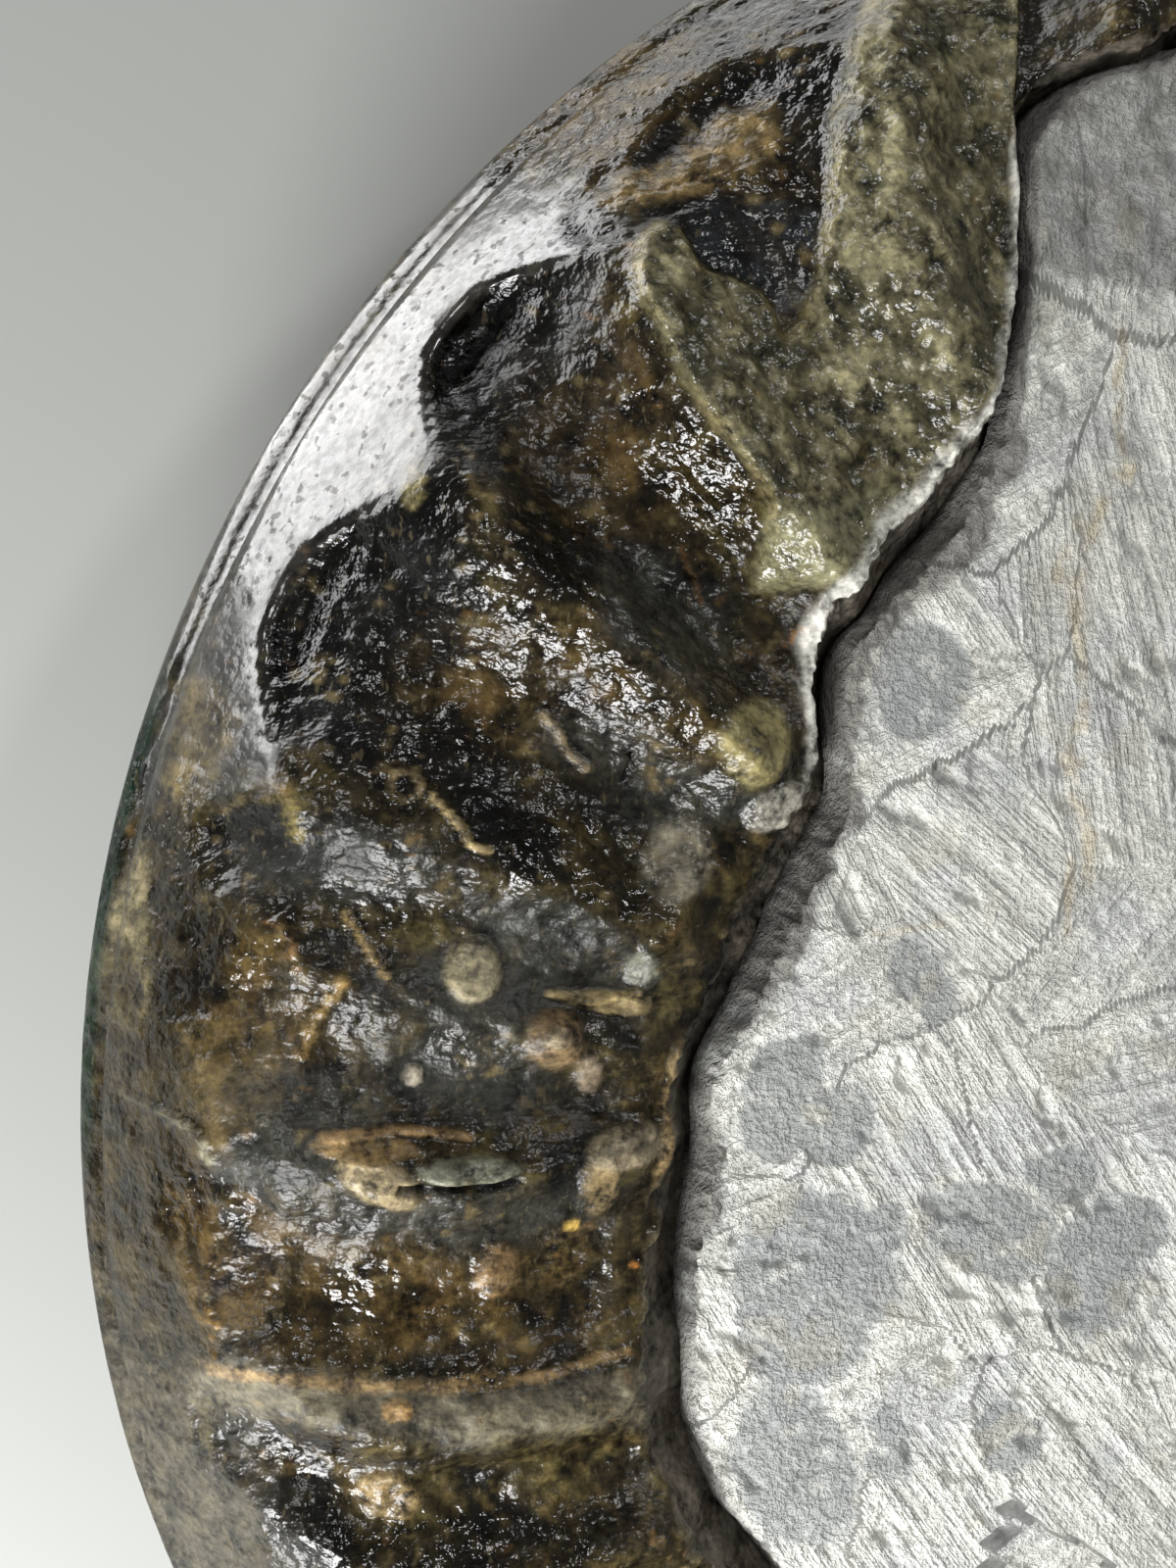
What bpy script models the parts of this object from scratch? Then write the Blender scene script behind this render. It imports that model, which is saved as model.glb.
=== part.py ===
# Arietites bucklandi, a large ribbed ammonite: one fossil coil that lies on its display side,
# with the pale limestone that still fills its hub on the upper side.
# Metres, +Z up, origin under the middle of the fossil, on the surface that it lies on.
import math

import bmesh
import bpy
import numpy as np
from mathutils import Matrix, Vector

# Driving sizes of the coil. Angles are in degrees, from +X towards +Y about the pole of the
# spiral, and they go on growing towards the hub: the mouth is at MOUTH_ANGLE.
RIM_AT_180 = 0.120          # from the pole to the keel, at 180 degrees
EXPANSION = 1.9             # how much larger the coil gets in one turn
MOUTH_ANGLE = 20.0
RIBS_PER_TURN = 30
STEPS_PER_RIB = 4
RIB_HALF_HEIGHT = 0.020     # as a share of the rim radius
RIB_SHARPNESS = 1.3
RIB_LAG_DEG = 1.2           # how far a rib bows back in the middle of the flank
RIB_FORWARD_DEG = 2.6       # how far it swings forward at the shoulder
SLAB_HEIGHT = 0.0016        # the slab of shell that stands proud beside the stone

# Crests that stand unevenly, as angles. The others are evenly spaced.
UNEVEN_CRESTS = (117.0, 128.8, 140.6, 153.4, 161.6, 170.2, 183.6, 194.6)

# Half of a whorl's section, from the seam on the turn before out to the keel: distance from
# the pole and height above the mid plane, as shares of the rim radius, and the ribs' strength.
SECTION = (
    (0.500, 0.0579, 0.0),
    (0.545, 0.120, 0.0),
    (0.570, 0.165, 0.3),
    (0.620, 0.190, 0.9),
    (0.710, 0.199, 1.0),
    (0.800, 0.196, 1.0),
    (0.868, 0.181, 1.1),
    (0.915, 0.150, 0.7),
    (0.950, 0.110, 0.0),
    (0.974, 0.066, 0.0),
    (0.965, 0.036, 0.0),
    (1.000, 0.000, 0.0),
)
SEAM_ROW = 8                # the row of SECTION that the next turn's seam lies on
INNER_ROWS = ((0, 2, 4, 6, 8), (0, 2, 4, 6, 8), (0, 4, 8))
FLANK_STEPS = (0.0, 0.16, 0.34, 0.54, 0.74, 0.90)

# Where the stone ends on the upper side: angle, and edge as a share of the rim radius.
STONE_EDGE = (
    (20.0, 0.500), (32.0, 0.545), (50.0, 0.600), (70.0, 0.690), (88.0, 0.790), (102.0, 0.845),
    (110.0, 0.838), (113.0, 0.740), (117.0, 0.682), (122.6, 0.650), (129.5, 0.642), (132.6, 0.640),
    (136.0, 0.610), (139.7, 0.570), (147.8, 0.569), (156.8, 0.570), (163.0, 0.584), (169.0, 0.576),
    (177.3, 0.593), (184.5, 0.605), (190.4, 0.615), (197.0, 0.614), (203.0, 0.600), (225.0, 0.585),
    (250.0, 0.600), (275.0, 0.590), (300.0, 0.620), (322.0, 0.650), (342.0, 0.760), (362.0, 0.880),
    (380.0, 0.950),
)
STONE_RIM = (
    (20.0, 0.0215), (45.0, 0.0262), (90.0, 0.0275), (113.0, 0.0262), (135.0, 0.0240), (180.0, 0.0218),
    (230.0, 0.0205), (280.0, 0.0190), (320.0, 0.0186), (350.0, 0.0200), (380.0, 0.0215),
)
GROOVE_WIDTH = (
    (20.0, 0.0020), (90.0, 0.0020), (108.0, 0.0012), (114.0, 0.0024), (122.0, 0.0038), (134.0, 0.0030),
    (150.0, 0.0036), (163.0, 0.0026), (170.0, 0.0030), (187.0, 0.0042), (200.0, 0.0036), (260.0, 0.0026),
    (380.0, 0.0020),
)
GROOVE_DEPTH = 0.0042
BED_FLOOR = 0.0028          # height above the mid plane of the coil's floor under the stone
BED_SLOPE = 0.016
STONE_MIDDLE = 0.0246
STONE_RINGS = (0.965, 0.80, 0.60, 0.36)
STONE_WAVES = 0.0011
FIT_GAP = 0.0003            # between the stone and the coil

# Small oysters that grew on the shell: angle, share of the rim radius, length, turn in degrees.
OYSTERS = (
    (160.2, 0.755, 0.0066, 40.0),
    (162.6, 0.685, 0.0056, 110.0),
    (171.2, 0.815, 0.0090, 20.0),
    (170.6, 0.722, 0.0085, -15.0),
    (188.7, 0.820, 0.0060, 75.0),
    (153.0, 0.839, 0.0060, 95.0),
)
OYSTER_SIDES = 7
OYSTER_HEIGHT = 0.0016

# The coil leans, because it is thicker towards the mouth: this direction of it points down.
DOWNWARDS = (-0.0390, -0.0263, -0.9989)
WORN_OFF = 0.0008           # taken off the crests that it rests on

SHELL_COLOUR = (0.055, 0.043, 0.030, 1.0)
STONE_COLOUR = (0.50, 0.50, 0.48, 1.0)


def along(table, angle):
    """A value from a table of (angle, value), with straight runs between its rows."""
    return float(np.interp(angle, [row[0] for row in table], [row[1] for row in table]))


def smooth_step(low, high, value):
    share = min(1.0, max(0.0, (value - low) / (high - low)))
    return share * share * (3 - 2 * share)


def rim_radius(angle):
    return RIM_AT_180 * EXPANSION ** ((180.0 - angle) / 360.0)


def column_angles():
    """The mesh columns over one turn, STEPS_PER_RIB from each crest to the next."""
    before = np.linspace(MOUTH_ANGLE, UNEVEN_CRESTS[0], 9)[:-1]
    left = RIBS_PER_TURN - len(before) - len(UNEVEN_CRESTS) + 1
    after = np.linspace(UNEVEN_CRESTS[-1], MOUTH_ANGLE + 360.0, left + 1)[1:]
    crests = [*before, *UNEVEN_CRESTS, *after]
    return np.interp(np.arange(RIBS_PER_TURN * STEPS_PER_RIB + 1) / STEPS_PER_RIB, range(len(crests)), crests)


def section_at(share):
    """Height and rib strength of the section, from the seam out to the shoulder."""
    rows = SECTION[: SEAM_ROW + 1]
    shares = [row[0] for row in rows]
    return (float(np.interp(share, shares, [row[1] for row in rows])),
            float(np.interp(share, shares, [row[2] for row in rows])))


def rib_wave(column, turn):
    """1 on a crest and -1 halfway to the next. The ribs of each turn stand between the next one's."""
    phase = column / STEPS_PER_RIB + 0.5 * turn
    return 2 * (0.5 + 0.5 * math.cos(2 * math.pi * phase)) ** RIB_SHARPNESS - 1


def rib_bow(share):
    """How far a rib is bowed at this share of the rim radius, in degrees."""
    across = min(1.0, max(0.0, (share - 0.5) / 0.45))
    forward = smooth_step(0.80, 0.90, share) * (1 - smooth_step(0.92, 0.95, share))
    return RIB_LAG_DEG * math.sin(math.pi * across) - RIB_FORWARD_DEG * forward


def slab_rise(angle, share):
    inside = smooth_step(110, 113, angle) * (1 - smooth_step(131, 134, angle))
    return SLAB_HEIGHT * inside * (1 - smooth_step(0.80, 0.86, share))


def polar(angle, radius, height):
    turned = math.radians(angle)
    return Vector((radius * math.cos(turned), radius * math.sin(turned), height))


def section_point(angle, column, turn, row, side):
    """A point of SECTION on the upper (side 1) or the lower (side -1) half of a turn."""
    share, height, strength = SECTION[row]
    scale = rim_radius(angle)
    height += RIB_HALF_HEIGHT * strength * rib_wave(column, turn)
    bow = rib_bow(share) if turn < len(INNER_ROWS) else 0.0
    return polar(angle + bow, share * scale, side * height * scale)


def flank_height(angle, column, share):
    height, strength = section_at(share)
    height += RIB_HALF_HEIGHT * strength * rib_wave(column, 0)
    return height * rim_radius(angle) + slab_rise(angle, share)


def stone_seat(angle, column):
    """Radius and height of the flank's edge by the stone, and the groove's width and depth."""
    edge = along(STONE_EDGE, angle)
    height = flank_height(angle, column, edge)
    return edge * rim_radius(angle), height, along(GROOVE_WIDTH, angle), min(GROOVE_DEPTH, 0.3 * height)


def upper_rows(angle, column):
    """One column on the upper side, from the floor under the stone out to the keel."""
    radius, height, groove, depth = stone_seat(angle, column)
    rows = [
        polar(angle, radius - groove - BED_SLOPE, BED_FLOOR),
        polar(angle, radius - groove - 0.003, height - depth - 0.2 * height),
        polar(angle, radius - 0.0006, height - depth),
    ]
    edge = along(STONE_EDGE, angle)
    seam = SECTION[SEAM_ROW][0]
    for step in FLANK_STEPS:
        share = edge + (seam - edge) * step
        rows.append(polar(angle + rib_bow(share) * min(1.0, 4 * step), share * rim_radius(angle),
                          flank_height(angle, column, share)))
    rows += [section_point(angle, column, 0, row, 1) for row in range(SEAM_ROW, len(SECTION))]
    return rows


def lower_rows(angle, column):
    """One column on the lower side, from beside the keel in to the seam."""
    return [section_point(angle, column, 0, row, -1) for row in reversed(range(len(SECTION) - 1))]


def face(bm, corners):
    """A face from corners, of which neighbours may be the same vertex."""
    kept = [v for v, before in zip(corners, corners[-1:] + corners[:-1]) if v is not before]
    if len(kept) > 2:
        bm.faces.new(kept)


def fan(bm, ring, middle):
    centre = bm.verts.new(middle)
    for here, there in zip(ring, ring[1:] + ring[:1]):
        face(bm, [here, there, centre])


def coil_mesh():
    """The coil as one closed surface: the outer turn, the turns inside it and the broken mouth."""
    bm = bmesh.new()
    angles = column_angles()
    last = len(angles) - 1
    outer = [[bm.verts.new(p) for p in upper_rows(a, c) + lower_rows(a, c)] for c, a in enumerate(angles[:-1])]
    edge_row, seam_above = 3, 3 + len(FLANK_STEPS)
    seam_below = len(outer[0]) - 1 - SEAM_ROW

    # The outer turn runs in under the mouth, where the stone's edge meets the seam on both sides.
    closing = upper_rows(angles[last], last) + lower_rows(angles[last], last)
    shared = {0: outer[0][0], 1: outer[0][1], 2: outer[0][2], seam_below: outer[0][-1]}
    shared.update({row: outer[0][edge_row] for row in range(edge_row, seam_above + 1)})
    outer.append([shared.get(row) or bm.verts.new(p) for row, p in enumerate(closing)])
    for here, there in zip(outer, outer[1:]):
        for row in range(len(closing) - 1):
            face(bm, [here[row], here[row + 1], there[row + 1], there[row]])
    face(bm, outer[0][edge_row:] + outer[-1][seam_above + 1: seam_below][::-1])
    fan(bm, [column[0] for column in outer[:-1]], Vector((0, 0, BED_FLOOR)))

    # The turns inside it show on the lower side. Each shares its outer seam with the turn outside.
    seam = [column[-1] for column in outer]
    before = outer[-1][::-1][: SEAM_ROW + 1]
    before_rows = tuple(range(SEAM_ROW + 1))
    for turn, kept in enumerate(INNER_ROWS, start=1):
        next_seam = [before[0]]
        for column in range(1, last + 1):
            angle = angles[column] + 360.0 * turn
            new = [bm.verts.new(section_point(angle, column, turn, row, -1)) for row in kept[:-1]]
            new.append(seam[column])
            for low in range(len(kept) - 1):
                first, second = before_rows.index(kept[low]), before_rows.index(kept[low + 1])
                face(bm, [new[low], new[low + 1]] + before[first: second + 1][::-1])
            before, before_rows = new, kept
            next_seam.append(new[0])
        seam = next_seam
    face(bm, before)
    fan(bm, seam, Vector((0, 0, -0.0010)))
    bmesh.ops.recalc_face_normals(bm, faces=bm.faces)
    return bm


def stone_mesh():
    """The stone over the hub: it stands in the coil's bed with a small gap all round."""
    bm = bmesh.new()
    columns = []
    for column, angle in enumerate(column_angles()[:-1]):
        radius, height, groove, depth = stone_seat(angle, column)
        side = radius - groove - FIT_GAP
        lift = 2.5 * FIT_GAP
        rise = 0.2 * height * (0.003 - FIT_GAP) / (groove + 0.0024)
        rows = [
            polar(angle, side - BED_SLOPE, BED_FLOOR + FIT_GAP),
            polar(angle, side - 0.003, 0.8 * height - depth + lift),
            polar(angle, side, 0.8 * height - depth + rise + lift),
            polar(angle, side - 0.0006, along(STONE_RIM, angle)),
        ]
        for share in STONE_RINGS:
            wave = math.sin(math.radians(5 * angle) + 9 * share) + math.sin(math.radians(-3 * angle) + 17 * share)
            level = STONE_MIDDLE + (along(STONE_RIM, angle) - STONE_MIDDLE) * share ** 2
            rows.append(polar(angle, side * share, level + STONE_WAVES * wave * (1 - share ** 6)))
        columns.append([bm.verts.new(p) for p in rows])
    for here, there in zip(columns, columns[1:] + columns[:1]):
        for row in range(len(here) - 1):
            face(bm, [here[row], here[row + 1], there[row + 1], there[row]])
    fan(bm, [column[0] for column in columns], Vector((0, 0, BED_FLOOR + FIT_GAP)))
    fan(bm, [column[-1] for column in columns], Vector((0, 0, STONE_MIDDLE)))
    bmesh.ops.recalc_face_normals(bm, faces=bm.faces)
    return bm


def add_oyster(bm, oyster):
    """A low closed shell, sunk a little into the flank, as a body of its own."""
    angle, share, length, turn = oyster
    angles = column_angles()
    column = float(np.interp(angle, angles, range(len(angles))))
    middle = polar(angle, share * rim_radius(angle), flank_height(angle, column, share))
    turning = Matrix.Rotation(math.radians(turn), 3, "Z")
    rings = []
    for spread, height in ((1.0, -0.0020), (1.0, 0.0004), (0.55, OYSTER_HEIGHT)):
        ring = []
        for step in range(OYSTER_SIDES):
            around = 2 * math.pi * step / OYSTER_SIDES
            flat = Vector((0.5 * length * spread * math.cos(around), 0.38 * length * spread * math.sin(around), height))
            ring.append(bm.verts.new(middle + turning @ flat))
        rings.append(ring)
    for low, high in zip(rings, rings[1:]):
        for step in range(OYSTER_SIDES):
            after = (step + 1) % OYSTER_SIDES
            bm.faces.new((low[step], low[after], high[after], high[step]))
    bm.faces.new(rings[0][::-1])
    bm.faces.new(rings[-1])


def oyster_mesh():
    bm = bmesh.new()
    for oyster in OYSTERS:
        add_oyster(bm, oyster)
    bmesh.ops.recalc_face_normals(bm, faces=bm.faces)
    return bm


def fuse(body, extra):
    """Joins extra to body, and takes extra away."""
    joining = body.modifiers.new("join", "BOOLEAN")
    joining.operation = "UNION"
    joining.solver = "EXACT"
    joining.object = extra
    bpy.context.view_layer.update()
    joined = bpy.data.meshes.new_from_object(body.evaluated_get(bpy.context.evaluated_depsgraph_get()))
    body.modifiers.clear()
    body.data = joined
    bpy.data.objects.remove(extra)


def lay_down(bodies):
    """Leans the bodies, sets them on the ground and wears a little off the crests below it."""
    leaning = Vector(DOWNWARDS).rotation_difference(Vector((0, 0, -1))).to_matrix().to_4x4()
    for body in bodies:
        body.data.transform(leaning)
    low, high = ([pick(v.co[axis] for body in bodies for v in body.data.vertices) for axis in range(3)]
                 for pick in (min, max))
    middle = Vector(((low[0] + high[0]) / 2, (low[1] + high[1]) / 2, low[2] + WORN_OFF))
    for body in bodies:
        body.data.transform(Matrix.Translation(-middle))
        bm = bmesh.new()
        bm.from_mesh(body.data)
        cut = bmesh.ops.bisect_plane(bm, geom=[*bm.verts, *bm.edges, *bm.faces], plane_co=(0, 0, 0),
                                     plane_no=(0, 0, -1), clear_outer=True)
        rims = [e for e in cut["geom_cut"] if isinstance(e, bmesh.types.BMEdge)]
        if rims:
            bmesh.ops.holes_fill(bm, edges=rims)
        bm.to_mesh(body.data)
        bm.free()


def material(name, colour, roughness):
    made = bpy.data.materials.new(name)
    made.use_nodes = True
    shader = made.node_tree.nodes["Principled BSDF"]
    shader.inputs["Base Color"].default_value = colour
    shader.inputs["Roughness"].default_value = roughness
    shader.inputs["Metallic"].default_value = 0.0
    return made


def new_object(name, bm, finish):
    mesh = bpy.data.meshes.new(name)
    bm.to_mesh(mesh)
    bm.free()
    made = bpy.data.objects.new(name, mesh)
    bpy.context.scene.collection.objects.link(made)
    mesh.materials.append(finish)
    return made


for old in list(bpy.data.objects):
    bpy.data.objects.remove(old)
shell = material("shell", SHELL_COLOUR, 0.3)
coil = new_object("ammonite", coil_mesh(), shell)
fuse(coil, new_object("oysters", oyster_mesh(), shell))
stone = new_object("matrix", stone_mesh(), material("stone", STONE_COLOUR, 0.85))
lay_down([coil, stone])
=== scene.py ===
import bpy
import math
import numpy as np
from mathutils import Matrix, Vector, noise


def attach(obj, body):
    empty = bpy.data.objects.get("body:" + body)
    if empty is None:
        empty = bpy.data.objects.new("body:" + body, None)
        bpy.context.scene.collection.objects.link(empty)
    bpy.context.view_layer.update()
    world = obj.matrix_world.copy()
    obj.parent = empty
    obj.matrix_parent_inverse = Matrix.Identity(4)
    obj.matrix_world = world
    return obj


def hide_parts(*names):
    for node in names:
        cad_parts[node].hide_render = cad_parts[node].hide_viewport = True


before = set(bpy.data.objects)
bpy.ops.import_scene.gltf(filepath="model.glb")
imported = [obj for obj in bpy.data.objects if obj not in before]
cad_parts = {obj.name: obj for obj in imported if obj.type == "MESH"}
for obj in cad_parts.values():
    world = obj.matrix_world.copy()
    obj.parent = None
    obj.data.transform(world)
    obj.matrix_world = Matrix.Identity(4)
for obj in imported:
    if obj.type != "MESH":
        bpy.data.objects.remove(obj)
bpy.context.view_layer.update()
bpy.context.scene.view_settings.view_transform = "Standard"

# the coil about the pole of its spiral, before it leans: angles in degrees grow towards the hub
coil = dict(
    rimAt180=0.120, expansion=1.9, mouth=20.0, ribHeight=0.020,
    unevenCrests=(117.0, 128.8, 140.6, 153.4, 161.6, 170.2, 183.6, 194.6),
    lag=1.2, forward=2.6,
    section=((0.500, 0.0579, 0.0), (0.545, 0.120, 0.0), (0.570, 0.165, 0.3), (0.620, 0.190, 0.9),
             (0.710, 0.199, 1.0), (0.800, 0.196, 1.0), (0.868, 0.181, 1.1), (0.915, 0.150, 0.7),
             (0.950, 0.110, 0.0)),
    venter=((0.950, 0.110), (0.963, 0.089), (0.976, 0.066), (0.985, 0.050), (0.984, 0.043),
            (0.980, 0.034), (0.984, 0.024), (0.994, 0.014), (0.999, 0.005), (1.000, 0.000)),
    front=(98.0, 211.0), frontColumns=600, coarseStep=1.6, sparser=4, bedRows=7, flankRows=84, underRows=19,
    innerTurns=(10, 7, 4),
)
seat = dict(
    edge=((20.0, 0.500), (32.0, 0.545), (50.0, 0.600), (70.0, 0.690), (88.0, 0.790), (102.0, 0.845),
          (110.0, 0.838), (113.0, 0.740), (117.0, 0.682), (122.6, 0.650), (129.5, 0.642), (132.6, 0.640),
          (136.0, 0.610), (139.7, 0.570), (147.8, 0.569), (156.8, 0.570), (163.0, 0.584), (169.0, 0.576),
          (177.3, 0.593), (184.5, 0.605), (190.4, 0.615), (197.0, 0.614), (203.0, 0.600), (225.0, 0.585),
          (250.0, 0.600), (275.0, 0.590), (300.0, 0.620), (322.0, 0.650), (342.0, 0.760), (362.0, 0.880),
          (380.0, 0.950)),
    rim=((20.0, 0.0215), (45.0, 0.0262), (90.0, 0.0275), (113.0, 0.0262), (135.0, 0.0240), (180.0, 0.0218),
         (230.0, 0.0205), (280.0, 0.0190), (320.0, 0.0186), (350.0, 0.0200), (380.0, 0.0215)),
    groove=((20.0, 0.0020), (90.0, 0.0020), (108.0, 0.0012), (114.0, 0.0024), (122.0, 0.0038),
            (134.0, 0.0030),
            (150.0, 0.0036), (163.0, 0.0026), (170.0, 0.0030), (187.0, 0.0042), (200.0, 0.0036),
            (260.0, 0.0026),
            (380.0, 0.0020)),
    depth=0.0032, floor=0.0028, slope=0.016, middle=0.0246,
)
lean = dict(down=(-0.0390, -0.0263, -0.9989), pole=(-0.0146557, -0.0194456, 0.0289219))
view = dict(
    place=(-0.1247, 0.0678, 0.2126), forward=(0.2406, -0.1045, -0.9650), right=(0.9703, 0.0, 0.2419),
    focal=2310.0, middle=(600.0, 800.0),
)


def ramp(table, x):
    return np.interp(x, [row[0] for row in table], [row[1] for row in table])


# as ramp, with its corners rounded over this width
def softRamp(table, x, width):
    return sum(ramp(table, x + width * k) for k in (-1.0, -0.6, -0.2, 0.2, 0.6, 1.0)) / 6


def step(low, high, x):
    t = np.clip((x - low) / (high - low), 0.0, 1.0)
    return t * t * (3 - 2 * t)


def rimRadius(angle):
    return coil["rimAt180"] * coil["expansion"] ** ((180.0 - angle) / 360.0)


def crestAngles():
    uneven = coil["unevenCrests"]
    before = np.linspace(coil["mouth"], uneven[0], 9)[:-1]
    after = np.linspace(uneven[-1], coil["mouth"] + 360.0, 16)[1:]
    return np.array([*before, *uneven, *after])


# where points of the coil fall in the picture, 1200 wide and 1600 high
def toPicture(points):
    forward, right = np.array(view["forward"]), np.array(view["right"])
    up = np.cross(right, forward)
    away = points - np.array(view["place"])
    depth = away @ forward
    return (view["middle"][0] + view["focal"] * (away @ right) / depth,
            view["middle"][1] - view["focal"] * (away @ up) / depth)


# signed distance to a closed outline in the picture, in its pixels, positive inside
def inside(outline, x, y):
    corners = np.array(outline, float)
    best = np.full(x.shape, 1e9)
    odd = np.zeros(x.shape, bool)
    for (ax, ay), (bx, by) in zip(corners, np.roll(corners, -1, axis=0)):
        dx, dy = bx - ax, by - ay
        t = np.clip(((x - ax) * dx + (y - ay) * dy) / (dx * dx + dy * dy + 1e-9), 0, 1)
        best = np.minimum(best, np.hypot(x - ax - t * dx, y - ay - t * dy))
        crosses = (ay > y) != (by > y)
        odd ^= crosses & (x < (bx - ax) * (y - ay) / (by - ay + 1e-12) + ax)
    return np.where(odd, best, -best)


# distance to an open line in the picture, in its pixels
def toLine(points, x, y):
    best = np.full(x.shape, 1e9)
    for (ax, ay), (bx, by) in zip(points, points[1:]):
        dx, dy = bx - ax, by - ay
        t = np.clip(((x - ax) * dx + (y - ay) * dy) / (dx * dx + dy * dy + 1e-9), 0, 1)
        best = np.minimum(best, np.hypot(x - ax - t * dx, y - ay - t * dy))
    return best


# fractal noise about -1 to 1, with features of this size in metres
def rough(points, size, octaves=3, seed=0.0):
    shape = points.shape[:-1]
    flat = points.reshape(-1, 3) / size + seed
    total = np.zeros(len(flat))
    for octave in range(octaves):
        total += np.array([noise.noise(p) for p in flat * 2.0 ** octave]) * 0.55 ** octave
    return total.reshape(shape)


print("stage 1: tables and helpers are ready")


crests = crestAngles()
# how the coil lies: the turning that leans it, and the pole of its spiral in the row's frame
turning = np.array(Vector(lean["down"]).rotation_difference(Vector((0, 0, -1))).to_matrix())
pole = np.array(lean["pole"])


# points of the coil, about its pole, in the row's frame, worn flat where the coil rests
def toFrame(points):
    laid = points.reshape(-1, 3) @ turning.T + pole
    laid[:, 2] = np.maximum(laid[:, 2], 0.0)
    return laid


# section height or rib strength, with its corners rounded
def sectionAt(share, column):
    fine = np.linspace(0.47, 0.98, 256)
    table = coil["section"]
    values = np.interp(fine, [r[0] for r in table], [r[column] for r in table])
    values[fine < 0.5] = values[fine >= 0.5][0] + (fine[fine < 0.5] - 0.5) * (1.38 if column == 1 else 0)
    values[fine > 0.95] = values[fine <= 0.95][-1] - (fine[fine > 0.95] - 0.95) * (1.3 if column == 1 else 0)
    kernel = np.hanning(11)
    smooth = np.convolve(values, kernel / kernel.sum(), mode="same")
    smooth[:6], smooth[-6:] = values[:6], values[-6:]
    return np.interp(share, fine, smooth)


def ribBow(share):
    across = np.clip((share - 0.5) / 0.45, 0, 1)
    return coil["lag"] * np.sin(math.pi * across) - coil["forward"] * step(0.80, 0.92, share)


# how crests on the photographed flank wander from the plain bow: crest number, share and degrees
wander = {
    9: ((0.60, 0.5), (0.75, 0.6), (0.90, 2.2), (1.00, 3.0)),
    10: ((0.60, 0.8), (0.75, -0.8), (0.85, 0.6), (0.92, 3.2), (1.00, 3.0)),
    11: ((0.58, 0.0), (0.67, 0.2), (0.78, -0.4), (0.89, 4.4), (1.00, 4.6)),
    12: ((0.58, 0.0), (0.78, -0.4), (1.00, 4.0)),
    13: ((0.58, -4.0), (0.70, -0.2), (0.80, 0.2), (0.92, 3.4), (1.00, 2.2)),
    14: ((0.60, 1.6), (0.75, 1.0), (0.85, 0.6), (0.93, 0.0), (1.00, -3.2)),
    15: ((0.60, 1.6), (0.75, 0.0), (1.00, -4.4)),
}
ribScale = {9: 0.9, 10: 1.0, 11: 0.9, 12: 0.35, 13: 0.9, 14: 1.0, 15: 0.9}
hollowScale = {8: 0.8, 9: 1.15, 10: 0.95, 11: 0.45, 12: 0.5, 13: 0.75, 14: 0.75, 15: 0.8}


# how many crests lie before this place: whole on a crest, a half in the hollow after it
def ribPhase(angle, share):
    lines = [crests[k] + ribBow(share) + (softRamp(wander[k], share, 0.05) if k in wander else 0.0)
             for k in range(len(crests))]
    phase = np.zeros(np.broadcast(angle, share).shape)
    for low, high in zip(lines, lines[1:]):
        phase += np.clip((angle - low) / (high - low), 0, 1)
    return phase


# height of the ribs over the section, as a share of the rim radius
def ribLevel(angle, share, turn=0, frontal=True):
    phase = ribPhase(angle, share) + 0.5 * turn
    peak = (0.5 + 0.5 * np.cos(2 * math.pi * phase)) ** 1.3
    crestSize = np.ones(phase.shape)
    hollowSize = np.ones(phase.shape)
    if frontal:
        sizes = np.array([ribScale.get(k, 1.0) for k in range(len(crests) + 1)])
        low = np.clip(np.floor(phase).astype(int), 0, len(crests) - 1)
        crestSize = sizes[low] + (sizes[low + 1] - sizes[low]) * step(0, 1, phase - low)
        for k, size in hollowScale.items():
            hollowSize = np.where(low == k, size, hollowSize)
    strength = sectionAt(share, 2)
    return coil["ribHeight"] * strength * (2 * peak - 1), phase, peak, crestSize, hollowSize


# where the shoulder ends: further out in the hollows, which are 1 in valley, than on the crests
def scoopEdge(valley):
    return 0.918 + 0.034 * valley


# height of the flank above the mid plane, in metres
def flankHeight(angle, share, frontal=True):
    level, phase, peak, crestSize, hollowSize = ribLevel(angle, share, 0, frontal)
    radius = rimRadius(angle)
    plain = sectionAt(share, 1) + level
    # on the photographed flank the hollows are scooped out behind a crisp edge at the shoulder
    valley = (1 - peak) ** 0.8
    edge = scoopEdge(valley)
    fade = 0.028 + 0.097 * step(158, 167, angle)
    bite = step(0.56, 0.66, share) * (1 - np.clip((share - edge + fade) / fade, 0, 1) ** 2)
    envelope = sectionAt(share, 1) + coil["ribHeight"] * np.minimum(sectionAt(share, 2), 0.9) * crestSize
    scooped = envelope - 2 * coil["ribHeight"] * valley * bite * hollowSize
    here = step(104, 112, angle) * (1 - step(204, 210, angle)) if frontal else 0.0
    return (plain + (scooped - plain) * here) * radius


def columnsOf():
    low, high = coil["front"]
    stepSize = coil["coarseStep"]
    first = np.linspace(coil["mouth"], low, int(round((low - coil["mouth"]) / stepSize)) + 1)
    fine = np.linspace(low, high, coil["frontColumns"] + 1)
    last = np.linspace(high, coil["mouth"] + 360.0, int(round((coil["mouth"] + 360.0 - high) / stepSize))
                       + 1)
    angles = np.concatenate([first[:-1], fine, last[1:]])
    kept = [*range(len(first)), *range(len(first) + coil["sparser"] - 1, len(first) + coil["frontColumns"],
                                       coil["sparser"]),
            *range(len(first) + coil["frontColumns"], len(angles))]
    return angles, np.array(kept)


print("stage 2: the coil's shape is set out")


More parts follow.
